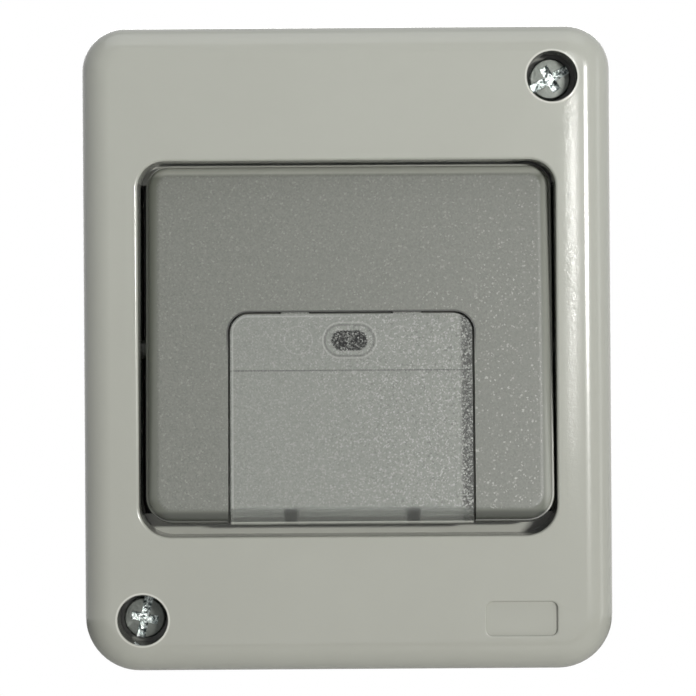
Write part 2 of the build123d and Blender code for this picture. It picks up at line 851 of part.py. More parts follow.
# Guide plate over the contact chamber, with a sleeve for the plunger and a seat for the lamp holder
with BuildPart() as guide_plate:
    with BuildSketch(level(block_top)):
        strip_between(guide_plate_bottom, guide_plate_top, guide_plate_width)
    extrude(amount=guide_plate_thickness)
    plate_corners = guide_plate.edges().filter_by(Axis.Y)
    fillet(plate_corners, block_corner)
    with BuildSketch(level(plate_top)):
        with Locations((0, plunger_z)):
            Circle(guide_sleeve_radius)
    extrude(amount=guide_sleeve_height)
    with BuildSketch(level(block_top)):
        with Locations((0, plunger_z)):
            Circle(stem_radius + stem_clearance)
        with Locations((0, lamp_z)):
            Circle(holder_radius + holder_clearance)
        with Locations(*plate_screw_spots):
            Circle(plate_screw_radius + hole_clearance / 2)
    extrude(amount=guide_plate_thickness + guide_sleeve_height, mode=Mode.SUBTRACT)
finish(guide_plate.part, "guide_plate")
finish(
    pan_screws(
        plate_screw_spots,
        plate_top,
        plate_screw_radius,
        plate_screw_length,
        plate_head_radius,
        plate_head_height,
        small_slot_width,
    ),
    "plate_screws",
)

# Plunger: a stem with a stop collar and a neck that carries the bridge
with BuildPart() as plunger:
    with BuildSketch(level(collar_top - stop_collar)):
        with Locations((0, plunger_z)):
            Circle(collar_radius)
    extrude(amount=stop_collar)
    with BuildSketch(level(collar_top)):
        with Locations((0, plunger_z)):
            Circle(stem_radius)
    extrude(amount=plunger_top - collar_top)
    fillet(plunger.edges().filter_by(GeomType.CIRCLE).group_by(Axis.Y)[0], stem_crown)
    with BuildSketch(level(collar_top - stop_collar)):
        with Locations((0, plunger_z)):
            Circle(neck_radius)
    extrude(amount=-(collar_top - stop_collar - bridge_foot + retainer_thickness))
finish(plunger.part, "plunger")

# Clip on the neck's end that holds the bridge on
with BuildPart() as plunger_clip:
    with BuildSketch(level(bridge_foot)):
        with Locations((0, plunger_z)):
            Circle(retainer_radius)
            Circle(neck_radius, mode=Mode.SUBTRACT)
    extrude(amount=-retainer_thickness)
finish(plunger_clip.part, "plunger_clip")

# Bridge between the two fixed contacts, with its own contacts underneath
with BuildPart() as contact_bridge:
    with BuildSketch(level(bridge_foot)):
        with Locations((0, plunger_z)):
            RectangleRounded(bridge_length, bridge_width, bridge_corner)
            Circle(neck_radius + strip_clearance / 2, mode=Mode.SUBTRACT)
    extrude(amount=bridge_thickness)
finish(contact_bridge.part, "contact_bridge")


def contact_pair(foot):
    """Two round contacts standing on one height, one each side of the plunger."""
    with BuildPart() as pair:
        with BuildSketch(level(foot)):
            with Locations((-contact_x, plunger_z), (contact_x, plunger_z)):
                Circle(contact_radius)
        extrude(amount=contact_height)
    return pair.part


finish(contact_pair(bridge_foot - contact_height), "bridge_contacts")
finish(contact_pair(strip_top), "fixed_contacts")

# Springs
return_top = bridge_foot - retainer_thickness
finish(
    coil(0, plunger_z, spring_well_floor, return_top, return_mean_radius, return_wire, return_turns),
    "return_spring",
)
collar_under = collar_top - stop_collar
finish(
    coil(0, plunger_z, bridge_top, collar_under, contact_mean_radius, contact_wire, contact_turns),
    "contact_spring",
)


def strip_piece(inner_x, outer_x, z):
    """A flat contact strip with a threaded hole for its terminal screw."""
    with BuildPart() as strip:
        with BuildSketch(level(strip_seat)):
            with Locations(((inner_x + outer_x) / 2, z)):
                Rectangle(abs(outer_x - inner_x), strip_width)
            with Locations((math.copysign(terminal_x, outer_x), z)):
                Circle(terminal_screw_radius + pilot_clearance, mode=Mode.SUBTRACT)
        extrude(amount=strip_thickness)
    return strip.part


# Contact strips, from the contacts inside to the terminals outside
finish(strip_piece(-strip_inner_x, -strip_outer_x, plunger_z), "left_strip")
finish(strip_piece(strip_inner_x, strip_outer_x, plunger_z), "right_strip")
finish(strip_piece(-loop_inner_x - strip_clearance, -strip_outer_x, terminal_z), "loop_strip")

# Wire clamps, square washers under the terminal screws
with BuildPart() as wire_clamps:
    with BuildSketch(level(clamp_foot)):
        with Locations(*terminal_spots):
            Rectangle(clamp_width, clamp_height)
            Circle(terminal_screw_radius + strip_clearance, mode=Mode.SUBTRACT)
    extrude(amount=clamp_thickness)
finish(wire_clamps.part, "wire_clamps")
finish(
    pan_screws(
        terminal_spots,
        clamp_top,
        terminal_screw_radius,
        clamp_top - terminal_screw_end,
        terminal_head_radius,
        terminal_head_height,
        terminal_slot_width,
    ),
    "terminal_screws",
)

# Lamp holder, a cup that stands through the guide plate
with BuildPart() as lamp_holder:
    with BuildSketch(level(holder_foot)):
        with Locations((0, lamp_z)):
            Circle(holder_radius)
    extrude(amount=plate_top - holder_foot)
    with BuildSketch(level(plate_top)):
        with Locations((0, lamp_z)):
            Circle(holder_flange_radius)
    extrude(amount=holder_flange)
    with BuildSketch(level(plate_top + holder_flange)):
        with Locations((0, lamp_z)):
            Circle(holder_sleeve_radius)
    extrude(amount=holder_top - plate_top - holder_flange)
    with BuildSketch(level(holder_top)):
        with Locations((0, lamp_z)):
            Circle(lamp_radius + lamp_clearance)
    extrude(amount=-(holder_top - lamp_seat), mode=Mode.SUBTRACT)
    with BuildSketch(level(holder_foot)):
        with Locations((0, lamp_z)):
            with GridLocations(lead_pitch, 0, 2, 1):
                Circle(lead_radius + lamp_clearance)
    extrude(amount=lamp_seat - holder_foot, mode=Mode.SUBTRACT)
finish(lamp_holder.part, "lamp_holder")

# Glow lamp, a glass bulb with a rounded top
with BuildPart() as glow_lamp:
    with BuildSketch(level(lamp_seat)):
        with Locations((0, lamp_z)):
            Circle(lamp_radius)
    extrude(amount=lamp_top - lamp_seat)
    fillet(glow_lamp.edges().filter_by(GeomType.CIRCLE).group_by(Axis.Y)[0], lamp_dome)
finish(glow_lamp.part, "glow_lamp")

# Lamp leads, from the lamp's foot along the channels to the clamps
with BuildPart() as lamp_leads:
    for side in (-1, 1):
        start = Vector(side * lead_pitch / 2, -lamp_seat, lamp_z)
        with BuildLine(mode=Mode.PRIVATE) as route:
            FilletPolyline(
                start,
                Vector(side * lead_pitch / 2, -lead_level, lamp_z),
                Vector(side * lead_x, -lead_level, lamp_z),
                Vector(side * lead_x, -lead_level, lead_end_z),
                radius=lead_bend,
            )
        with BuildSketch(Plane(origin=start, z_dir=(0, 1, 0))):
            Circle(lead_radius)
        sweep(path=route.line)
finish(lamp_leads.part, "lamp_leads")


def cable_grommet(side):
    """A membrane grommet in the upper (+1) or lower (-1) cable entry."""
    outer_face = side * entry_outer
    inner_face = side * entry_inner
    with BuildPart() as grommet:
        with BuildSketch(Plane.XY.offset(outer_face)):
            with Locations((0, -entry_height)):
                Circle(grommet_flange_radius)
        extrude(amount=side * grommet_flange)
        fillet(grommet.edges().filter_by(GeomType.CIRCLE).sort_by(Axis.Z)[-side], head_crown)
        with BuildSketch(Plane.XY.offset(outer_face)):
            with Locations((0, -entry_height)):
                Circle(entry_radius - grommet_clearance)
        extrude(amount=-side * (abs(outer_face - inner_face) + grommet_lip))
        with BuildSketch(Plane.XY.offset(inner_face)):
            with Locations((0, -entry_height)):
                Circle(grommet_lip_radius)
        extrude(amount=-side * grommet_lip)
        with BuildSketch(Plane.XY.offset(outer_face + side * grommet_flange)):
            with Locations((0, -entry_height)):
                Circle(nipple_base_radius)
        extrude(amount=side * nipple_reach, taper=nipple_taper)
        with BuildSketch(Plane.XY.offset(inner_face - side * grommet_lip)):
            with Locations((0, -entry_height)):
                Circle(nipple_base_radius + grommet_skin)
        bore = abs(outer_face - inner_face) + grommet_lip + grommet_flange - grommet_skin
        extrude(amount=side * bore, mode=Mode.SUBTRACT)
        with BuildSketch(Plane.XY.offset(outer_face + side * (grommet_flange - grommet_skin))):
            with Locations((0, -entry_height)):
                Circle(nipple_base_radius - grommet_skin)
        extrude(amount=side * nipple_reach, taper=nipple_taper, mode=Mode.SUBTRACT)
    return grommet.part


# Grommets in the cable entries
finish(cable_grommet(1), "cable_grommet_top")
finish(cable_grommet(-1), "cable_grommet_bottom")
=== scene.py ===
"""The looks of a weatherproof push button switch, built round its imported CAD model."""

import json
import math

import bmesh
import bpy
from mathutils import Matrix, Vector

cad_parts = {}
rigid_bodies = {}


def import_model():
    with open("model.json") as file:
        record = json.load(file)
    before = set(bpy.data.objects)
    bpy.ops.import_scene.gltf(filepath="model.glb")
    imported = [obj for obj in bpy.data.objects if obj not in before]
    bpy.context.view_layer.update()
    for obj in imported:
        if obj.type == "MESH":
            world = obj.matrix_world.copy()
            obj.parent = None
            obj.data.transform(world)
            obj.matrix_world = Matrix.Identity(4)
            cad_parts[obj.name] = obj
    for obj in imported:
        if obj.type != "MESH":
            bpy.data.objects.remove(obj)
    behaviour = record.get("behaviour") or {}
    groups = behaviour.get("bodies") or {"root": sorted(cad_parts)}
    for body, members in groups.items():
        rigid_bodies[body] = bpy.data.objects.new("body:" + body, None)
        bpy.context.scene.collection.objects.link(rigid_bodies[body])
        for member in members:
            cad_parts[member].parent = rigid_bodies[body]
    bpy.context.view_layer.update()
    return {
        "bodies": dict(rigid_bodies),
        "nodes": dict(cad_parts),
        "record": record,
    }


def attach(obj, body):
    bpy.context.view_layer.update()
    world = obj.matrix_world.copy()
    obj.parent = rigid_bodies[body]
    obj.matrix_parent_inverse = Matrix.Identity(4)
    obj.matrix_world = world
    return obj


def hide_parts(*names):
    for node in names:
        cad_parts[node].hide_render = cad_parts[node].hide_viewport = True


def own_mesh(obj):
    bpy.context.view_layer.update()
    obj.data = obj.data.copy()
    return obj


MM = 0.001
PHOTO_SIDE = 696

# Sizes of the part, in millimetres and degrees. X runs to the right, and heights are counted from
# the wall. A place along the rocker is counted up its face from its pivot.
FRONT = 48.0
PIVOT_HEIGHT = 40.0
REST_TILT = 5.5
ROCKER_X = 0.25
ROCKER_FACE = 7.2
SCREW_X, SCREW_Z = 25.65, 33.65
CARD_TOP, HOOK_X = -3.45, 7.6
WINDOW_X = 0.23
WINDOW_TOP, WINDOW_HALF, WINDOW_CORNER = 3.6, 15.05, 2.3

# Places in the finishes, in millimetres, some of them a few tenths off the part's own sizes: where
# the rocker's edge turns, a well's mouth ring, the level of the screws' faces, the clear band at
# the window's foot and its lip, the glow along the front's right edge, and the ring, the oval and
# the two faint circles on the window
EDGE_X, EDGE_TOP = 23.8, 20.7
WELL_MOUTH, SCREW_FACE = 3.3, 43.6
WINDOW_FOOT, LIP = -20.9, 22.22
GLOW_START, GLOW_END = 25.9, 29.4
GLOW_LOW, GLOW_HIGH = -32.0, -8.0
GUIDE_Y = 0.3
RING_LENGTH, RING_WIDTH = 6.7, 4.45
OVAL_LENGTH, OVAL_WIDTH = 4.6, 2.6
MARK_X, MARK_RADIUS = 6.4, 1.75

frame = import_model()
scene = bpy.context.scene
scene.view_settings.view_transform = "Standard"


# Camera, straight in front of the switch, in millimetres and degrees

CAMERA_DISTANCE = 400.0
CAMERA_X, CAMERA_Z = 0.08, 0.03
CAMERA_ROLL = 0.37
PIXELS_PER_MM = 8.05


def make_camera():
    """A camera in front of the cover, turned as little as the photo's was."""
    data = bpy.data.cameras.new("camera")
    data.lens = data.sensor_width * CAMERA_DISTANCE * PIXELS_PER_MM / PHOTO_SIDE
    data.clip_start = 0.01
    camera = bpy.data.objects.new("camera", data)
    camera.location = (CAMERA_X * MM, -(FRONT + CAMERA_DISTANCE) * MM, CAMERA_Z * MM)
    camera.rotation_euler = (math.radians(90), math.radians(CAMERA_ROLL), 0)
    scene.collection.objects.link(camera)
    scene.camera = camera


make_camera()


# Light: a firm key from the right, a strip at the right side, a lamp behind for the back views and
# a soft fill from above

# Name, azimuth and elevation in degrees, distance, width and height in metres, watts and colour
LAMPS = (
    ("key", 20, 3.8, 0.65, 0.085, 0.022, 2.75, (1.0, 0.99, 0.965)),
    ("side_strip", 70, 3, 0.65, 0.137, 0.47, 0.3, (1, 1, 1)),
    ("behind", 180, 12, 0.9, 0.5, 0.5, 2.5, (1, 1, 1)),
    ("overhead", -5, 72, 0.45, 0.6, 0.4, 0.85, (0.98, 0.99, 1.0)),
)


def add_lamp(name, azimuth, elevation, distance, width, height, power, tint):
    """A rectangular lamp that faces the switch. Azimuth is counted to the right of the camera."""
    data = bpy.data.lights.new(name, "AREA")
    data.shape = "RECTANGLE"
    data.size = width
    data.size_y = height
    data.energy = power
    data.color = tint
    lamp = bpy.data.objects.new(name, data)
    lamp.visible_camera = False
    side, up = math.radians(azimuth), math.radians(elevation)
    flat = math.cos(up)
    toward = Vector((math.sin(side) * flat, -math.cos(side) * flat, math.sin(up)))
    lamp.location = toward * distance
    lamp.rotation_euler = toward.to_track_quat("Z", "Y").to_euler()
    scene.collection.objects.link(lamp)


for lamp_sizes in LAMPS:
    add_lamp(*lamp_sizes)


# Finishes

class Amount:
    """A number that varies over a surface. Arithmetic on it adds Math nodes to its tree."""

    def __init__(self, nodes, socket):
        self.nodes = nodes
        self.socket = socket

    def maths(self, operation, *parts):
        """The result of one Math node on these parts, which are numbers, sockets or amounts."""
        sockets = dict(enumerate(parts))
        made = self.nodes.node("ShaderNodeMath", {"operation": operation}, sockets)
        return Amount(self.nodes, made.outputs[0])

    def __add__(self, other):
        return self.maths("ADD", self, other)

    __radd__ = __add__

    def __neg__(self):
        return self.maths("MULTIPLY", self, -1.0)

    def __sub__(self, other):
        return self.maths("SUBTRACT", self, other)

    def __rsub__(self, other):
        return self.maths("SUBTRACT", other, self)

    def __mul__(self, other):
        return self.maths("MULTIPLY", self, other)

    __rmul__ = __mul__

    def __truediv__(self, other):
        return self.maths("DIVIDE", self, other)

    def __pow__(self, other):
        return self.maths("POWER", self, other)

    def size(self):
        return self.maths("ABSOLUTE", self)

    def at_least(self, other):
        return self.maths("MAXIMUM", self, other)


class Nodes:
    """A node tree, and the one way in which nodes are put into it."""

    def __init__(self, tree):
        self.tree = tree

    def node(self, kind, settings=None, sockets=None):
        """Makes a node: first its settings or a ramp's stops, then its sockets' values or links."""
        made = self.tree.nodes.new(kind)
        for name, value in (settings or {}).items():
            if name == "stops":
                for stop, (position, level) in zip(made.color_ramp.elements, value):
                    stop.position = position
                    stop.color = (level, level, level, 1)
            else:
                setattr(made, name, value)
        for name, value in (sockets or {}).items():
            self.feed(made.inputs[name], value)
        return made

    def feed(self, socket, value):
        """Sets a socket to a value, or links something to it."""
        if isinstance(value, Amount):
            self.tree.links.new(value.socket, socket)
        elif isinstance(value, bpy.types.NodeSocket):
            self.tree.links.new(value, socket)
        else:
            socket.default_value = value


class Finish(Nodes):
    """One material and the nodes in it."""

    SPELLING = {"Ior": "IOR", "Specular Level": "Specular IOR Level"}

    def __init__(self, name, **fixed):
        self.material = bpy.data.materials.new(name)
        self.material.use_nodes = True
        super().__init__(self.material.node_tree)
        self.surface = self.tree.nodes["Principled BSDF"]
        for socket, value in fixed.items():
            self.set(socket.replace("_", " ").title(), value)

    def set(self, name, value):
        """Sets or links one of the surface's own sockets."""
        self.feed(self.surface.inputs[self.SPELLING.get(name, name)], value)

    def place(self):
        """The surface's own coordinates, in millimetres."""
        at = self.node("ShaderNodeTexCoord").outputs["Object"]
        sockets = {"Vector": at, "Scale": (1 / MM, 1 / MM, 1 / MM)}
        return self.node("ShaderNodeMapping", {}, sockets).outputs[0]

    def axes(self):
        """The three parts of a place: to the right, towards the wall and up."""
        parts = self.node("ShaderNodeSeparateXYZ", {}, {0: self.place()}).outputs
        return [Amount(self, part) for part in parts]

    def smooth_step(self, value, low, high):
        """0 below one level, 1 above the other, and smooth between them."""
        settings = {"interpolation_type": "SMOOTHSTEP"}
        sockets = {"Value": value, "From Min": low, "From Max": high}
        return Amount(self, self.node("ShaderNodeMapRange", settings, sockets).outputs[0])

    def noise(self, size, detail=2.0, rough=0.5):
        """Soft noise whose lumps are about this size in millimetres, from 0 to 1."""
        where = self.place()
        sockets = {"Vector": where, "Scale": 1 / size, "Detail": detail, "Roughness": rough}
        return Amount(self, self.node("ShaderNodeTexNoise", {}, sockets).outputs[0])

    def grains(self, size):
        """Cells of about this size in millimetres, each with a value of its own."""
        sockets = {"Vector": self.place(), "Scale": 1 / size}
        return Amount(self, self.node("ShaderNodeTexVoronoi", {}, sockets).outputs["Color"])

    def level(self, value, *stops):
        """A number that follows a value through two stops, each a position and a level."""
        made = self.node("ShaderNodeValToRGB", {"stops": stops}, {"Fac": value})
        return Amount(self, made.outputs[0])

    def mix(self, factor, one, two):
        """A colour between two colours. The Mix node's colour sockets are its inputs 6 and 7."""
        sockets = {"Factor": factor, 6: one, 7: two}
        return self.node("ShaderNodeMix", {"data_type": "RGBA"}, sockets).outputs[2]

    def layer(self, name, roughness):
        """A second surface, laid over the first by blend."""
        return self.node("ShaderNodeBsdfPrincipled", {"label": name}, {"Roughness": roughness})

    def blend(self, layer, factor):
        """Shows this much of a second surface, from 0 to 1."""
        sockets = {0: factor, 1: self.surface.outputs[0], 2: layer.outputs[0]}
        both = self.node("ShaderNodeMixShader", {}, sockets)
        self.feed(self.tree.nodes["Material Output"].inputs["Surface"], both.outputs[0])

    def bump(self, height, depth, below=None):
        """Relief from a height of 0 to 1 that is this deep in millimetres."""
        sockets = {"Height": height, "Distance": depth * MM, "Strength": 1.0}
        if below is not None:
            sockets["Normal"] = below
        return self.node("ShaderNodeBump", {}, sockets).outputs[0]


def colour(red, green, blue):
    """A photo's colour, 0 to 255, as Blender's linear colour."""
    def linear(part):
        part /= 255
        return part / 12.92 if part <= 0.04045 else ((part + 0.055) / 1.055) ** 2.4
    return (linear(red), linear(green), linear(blue), 1.0)


def housing_grey():
    """Warm grey moulded plastic, nearly smooth. Its front sinks a little before the right edge."""
    finish = Finish("housing_grey", specular_level=0.5)
    across, deep, up = finish.axes()
    # Random tone, and painted light that makes the front lighter towards the top and darker towards
    # the bottom
    tone_and_top_light = finish.noise(14.0, 3.0) * 0.4 + finish.smooth_step(up, -38.0, 38.0) * 0.6

    # Two opposite corners have a screw well, with a painted highlight ring at its mouth and painted
    # shade inside it
    beside, over = across.size() - SCREW_X, up.size() - SCREW_Z
    reach = (beside * beside + over * over) ** 0.5
    paired = finish.smooth_step(across * up, 0.0, 1.0)
    mouth_highlight = 1.0 - finish.smooth_step((reach - WELL_MOUTH).size(), 0.03, 0.16)
    mouth_highlight = mouth_highlight * finish.smooth_step(-deep, FRONT - 0.5, FRONT - 0.2) * paired
    well = finish.smooth_step(reach, WELL_MOUTH, WELL_MOUTH - 0.1)
    well = well * finish.smooth_step(-deep, FRONT - 0.3, FRONT - 0.6) * paired
    well = well * finish.smooth_step(-deep, SCREW_FACE - 3.0, SCREW_FACE - 2.8)
    shade = finish.mix(tone_and_top_light, colour(160, 161, 153), colour(171, 173, 165))
    shade = finish.mix(well * 0.6, shade, colour(60, 62, 58))
    finish.set("Base Color", finish.mix(mouth_highlight * 0.55, shade, colour(222, 222, 216)))
    finish.set("Roughness", finish.noise(5.0, 4.0) * 0.04 + 0.15)

    # The sink's slope catches the light, and a fine mottle breaks up the glow on it
    step = finish.smooth_step(across, GLOW_START, GLOW_END)
    sink = step * step * finish.smooth_step(up, GLOW_LOW, GLOW_HIGH)
    peel = finish.bump(finish.noise(0.9, 5.0, 0.65), 0.006)
    band = step * (1.0 - step) * finish.smooth_step(up, GLOW_LOW, GLOW_HIGH) * 4.0
    mottle = finish.bump((finish.noise(0.6, 4.0, 0.75) - 0.5) * band, 0.03, peel)
    finish.set("Normal", finish.bump(sink, -0.08, mottle))
    return finish.material


def rocker_axes(finish):
    """Where a point of the rocker lies: to the right, up along its face, and square to its face."""
    across, deep, up = finish.axes()
    lean = math.radians(REST_TILT)
    deep = deep + PIVOT_HEIGHT
    along = up * math.cos(lean) + deep * math.sin(lean)
    return across - ROCKER_X, along, up * math.sin(lean) - deep * math.cos(lean)


def off_window(finish, across, along):
    """How far a point of the rocker lies outside the window's sides and top, negative inside."""
    beside = ((across - WINDOW_X).size() - (WINDOW_HALF - WINDOW_CORNER)).at_least(0.0)
    over = (along - (WINDOW_TOP - WINDOW_CORNER)).at_least(0.0)
    return (beside * beside + over * over) ** 0.5 - WINDOW_CORNER


def sparkle_grey():
    """Darker grey plastic. Its face has an eroded grain with painted glints, and its rounded edge
    is smooth.
    """
    finish = Finish("sparkle_grey", specular_level=0.5)
    across, along, height = rocker_axes(finish)
    open_side = finish.smooth_step(across, EDGE_X, EDGE_X + 0.8)
    open_top = finish.smooth_step(along, EDGE_TOP, EDGE_TOP + 0.8)
    flat = finish.smooth_step(height, ROCKER_FACE - 0.12, ROCKER_FACE - 0.01)
    upper = finish.smooth_step(height, ROCKER_FACE - 1.2, ROCKER_FACE - 0.8)
    on_face = flat.at_least(open_top * upper)

    speck = finish.grains(0.2)
    mottled = finish.noise(0.3, 3.0, 0.7)
    # Painted glints on the grain, stronger towards the lower right, where the light falls
    light_side_weight = finish.smooth_step(across - along * 0.7, -10.0, 32.0) * 0.8 + 0.2
    painted_glint = finish.level(speck, (0.8, 0.0), (0.92, 1.0)) * light_side_weight * on_face
    shade = finish.level(speck * 0.4 + mottled * 0.6, (0.25, 0.0), (0.75, 1.0))
    face = finish.mix(shade, colour(98, 101, 95), colour(118, 120, 114))
    face = finish.mix(painted_glint * 0.55, face, colour(186, 188, 182))
    # Painted light: the rounded top edge is lighter
    face = finish.mix(open_top * (1.0 - flat) * 0.8, face, colour(168, 170, 162))

    # The rounded edge has painted light and shade: lighter on the right and at the top, darker at
    # the foot, with a painted dark shadow line under the foot's rim
    foot = finish.smooth_step(-along, EDGE_TOP, EDGE_TOP + 0.6)
    painted_light_sides = open_side.at_least(open_top)
    rim = finish.mix(painted_light_sides, colour(108, 111, 103), colour(146, 148, 141))
    rim = finish.mix(foot, rim, colour(82, 84, 79))
    under = foot * finish.smooth_step(height, ROCKER_FACE - 1.6, ROCKER_FACE - 1.9)
    rim = finish.mix(under * 0.8, rim, colour(28, 29, 27))
    both = finish.mix(on_face, rim, face)

    # Painted shade in the gap round the window's upper half
    gap_shade = (off_window(finish, across, along) - 0.34).size()
    gap_shade = 1.0 - finish.smooth_step(gap_shade, 0.08, 0.2)
    gap_shade = gap_shade * finish.smooth_step(along, -2.0, 1.5)
    finish.set("Base Color", finish.mix(gap_shade * 0.85, both, colour(30, 31, 29)))
    finish.set("Roughness", mottled * 0.15 + on_face * 0.12 + 0.26)
    finish.set("Normal", finish.bump(shade * on_face, 0.012))
    return finish.material


def clear_frost():
    """Clear plastic under a frosted skin, which is thin over the light guide and the foot."""
    finish = Finish("clear_frost", ior=1.49, transmission_weight=1.0)
    across, along = rocker_axes(finish)[:2]
    right = across - WINDOW_X
    aside = across.size()
    above = along - GUIDE_Y
    frost = finish.noise(0.26, 4.0, 0.75)
    cells = finish.grains(0.18)
    pits = finish.grains(0.22)
    grain = cells * 0.45 + frost * 0.55
    painted_glint = finish.level(cells, (0.66, 0.0), (0.86, 1.0))

    def off_slot(length, width):
        """How far a point lies outside a slot shape's edge, or inside it where negative."""
        reach = (aside - (length - width) / 2).at_least(0.0)
        return (reach * reach + above * above) ** 0.5 - width / 2

    def line(distance, width=0.12):
        """A thin line where a distance is nought."""
        return 1.0 - finish.smooth_step(distance.size(), width / 4, width)

    oval = finish.smooth_step(off_slot(OVAL_LENGTH, OVAL_WIDTH), -0.2, 0.1)
    rim = off_slot(RING_LENGTH, RING_WIDTH)
    away = aside - MARK_X
    mark = line((away * away + above * above) ** 0.5 - MARK_RADIUS)
    lug_shade = finish.smooth_step((right.size() - HOOK_X).size(), 1.0, 0.4)
    lip_highlight = finish.smooth_step(-along, LIP - 0.12, LIP + 0.04)
    face = finish.smooth_step(along, WINDOW_FOOT, WINDOW_FOOT + 0.6)
    light_side_weight = finish.smooth_step(across + along * 0.25, -16.0, 10.0) * 0.75 + 0.25
    edge = finish.smooth_step(right, WINDOW_HALF - 1.67, WINDOW_HALF - 0.97)
    coarse = finish.level(grain, (0.45, 1.0), (0.64, 0.0))

    # The clear oval is tinted dark, a painted shade that stands for the dark hollow seen through it
    finish.set("Base Color", finish.mix(oval, colour(36, 40, 37), colour(236, 240, 235)))
    finish.set("Roughness", frost * 0.08 + 0.05)

    skin = finish.layer("frosted_skin", 0.36)
    shade = finish.mix(grain, colour(124, 127, 122), colour(176, 179, 173))
    # Painted shade in the grain's pits and painted glints on its grains, both stronger on the side
    # towards the light
    pit_shade = finish.level(pits, (0.72, 0.0), (0.9, 1.0))
    shade = finish.mix(pit_shade * light_side_weight * face * 0.5, shade, colour(84, 88, 84))
    shade = finish.mix(painted_glint * light_side_weight * face * 0.5, shade, colour(222, 224, 220))
    # Painted shade, speckled, in a band inside the window's right edge
    shade = finish.mix(edge * coarse * 0.9, shade, colour(26, 28, 26))
    shade = finish.mix(line(along - CARD_TOP, 0.14) * 0.6, shade, colour(70, 73, 70))
    # Painted highlight and painted shade on the two sides of the ring round the light guide
    shade = finish.mix(line(rim, 0.16) * 0.5, shade, colour(196, 198, 193))
    shade = finish.mix(line(rim + 0.3, 0.2) * 0.5, shade, colour(84, 87, 83))
    # Painted shade in the notches at the two lugs
    shade = finish.mix(lug_shade * (1.0 - face) * 0.6, shade, colour(48, 50, 47))
    # Painted highlight along the window's edge on its left half
    edge_highlight = line(off_window(finish, across, along) + 0.28, 0.15)
    edge_highlight = edge_highlight * finish.smooth_step(right, 6.0, -6.0)
    shade = finish.mix(edge_highlight * 0.55, shade, colour(204, 206, 201))
    # Painted highlight along the lip
    shade = finish.mix(lip_highlight * 0.6, shade, colour(204, 205, 198))
    shade = finish.mix(mark * 0.3, shade, colour(190, 192, 188))
    finish.feed(skin.inputs["Base Color"], shade)
    relief = grain * face * 0.014 + line(rim, 0.2) * 0.04 + mark * 0.02
    finish.feed(skin.inputs["Normal"], finish.bump(relief, 1.0))
    dim = (1.0 - oval) * finish.level(grain, (0.45, 1.0), (0.68, 0.2))
    finish.blend(skin, ((face * 0.34 + 0.26) * (1.0 - dim)).at_least(lip_highlight))
    return finish.material


def worn_zinc():
    """Zinc-plated steel, dull on the flat of a cover screw and bright and chewed in its slots."""
    finish = Finish("worn_zinc", metallic=1.0)
    deep = finish.axes()[1]
    slot = finish.smooth_step(-deep, SCREW_FACE - 0.04, SCREW_FACE - 0.3)
    chewed = finish.noise(0.45, 4.0, 0.7)
    flat = finish.mix(chewed, colour(80, 84, 81), colour(110, 113, 109))
    worn = finish.level(chewed, (0.42, 0.0), (0.6, 1.0))
    bright = finish.mix(worn, colour(60, 70, 70), colour(222, 230, 228))
    finish.set("Base Color", finish.mix(slot, flat, bright))
    finish.set("Roughness", 0.46 - slot * 0.24)
    finish.set("Normal", finish.bump(chewed * (slot * 0.8 + 0.2), 0.16))
    return finish.material


def plain(name, low, high, rough, lump, depth=0.004, metal=0.0):
    """A finish with a slow change of shade, in lumps of a size in millimetres, and fine relief."""
    finish = Finish(name, metallic=metal)
    patches = finish.noise(lump, 3.0)
    finish.set("Base Color", finish.mix(patches, colour(*low), colour(*high)))
    finish.set("Roughness", patches * 0.12 + rough)
    finish.set("Normal", finish.bump(finish.noise(lump / 8, 3.0), depth))
    return finish.material


FINISHES = {
    "housing_plastic": housing_grey(),
    "rocker_plastic": sparkle_grey(),
    "clear_plastic": clear_frost(),
    "card_paper": plain("card_grey", (150, 152, 146), (158, 160, 153), 0.7, 1.5),
    "seal_rubber": plain("seal_black", (45, 45, 45), (60, 60, 58), 0.7, 2.0),
    "membrane_rubber": plain("membrane_black", (34, 34, 34), (42, 42, 41), 0.5, 3.0),
    "grommet_rubber": plain("grommet_grey", (120, 122, 118), (132, 134, 129), 0.6, 2.0),
    "block_plastic": plain("block_cream", (222, 221, 212), (230, 229, 222), 0.45, 4.0),
    "plunger_plastic": plain("plunger_red", (176, 44, 34), (190, 56, 44), 0.4, 2.0),
    "zinc_steel": worn_zinc(),
    "spring_steel": plain(
        "spring_steel", (150, 150, 150), (180, 180, 178), 0.3, 0.8, 0.003, 1.0
    ),
    "contact_brass": plain(
        "contact_brass", (196, 160, 92), (214, 182, 116), 0.32, 1.2, 0.003, 1.0
    ),
    "contact_silver": plain(
        "contact_silver", (206, 206, 202), (222, 222, 218), 0.25, 0.8, 0.002, 1.0
    ),
    "lamp_glass": plain("lamp_glass", (250, 205, 170), (252, 214, 184), 0.08, 3.0, 0.001),
    "tinned_copper": plain(
        "tinned_copper", (190, 184, 176), (205, 200, 192), 0.35, 0.8, 0.002, 1.0
    ),
}
slot_of = {part["node"]: part["material_slot"] for part in frame["record"]["subparts"]}


# Smooth-shaded pieces. Corners closer than the first size become one, in millimetres, and edges
# above the angle stay sharp.

MERGE_DISTANCE = 0.001
SHARP_ANGLE = 32.0


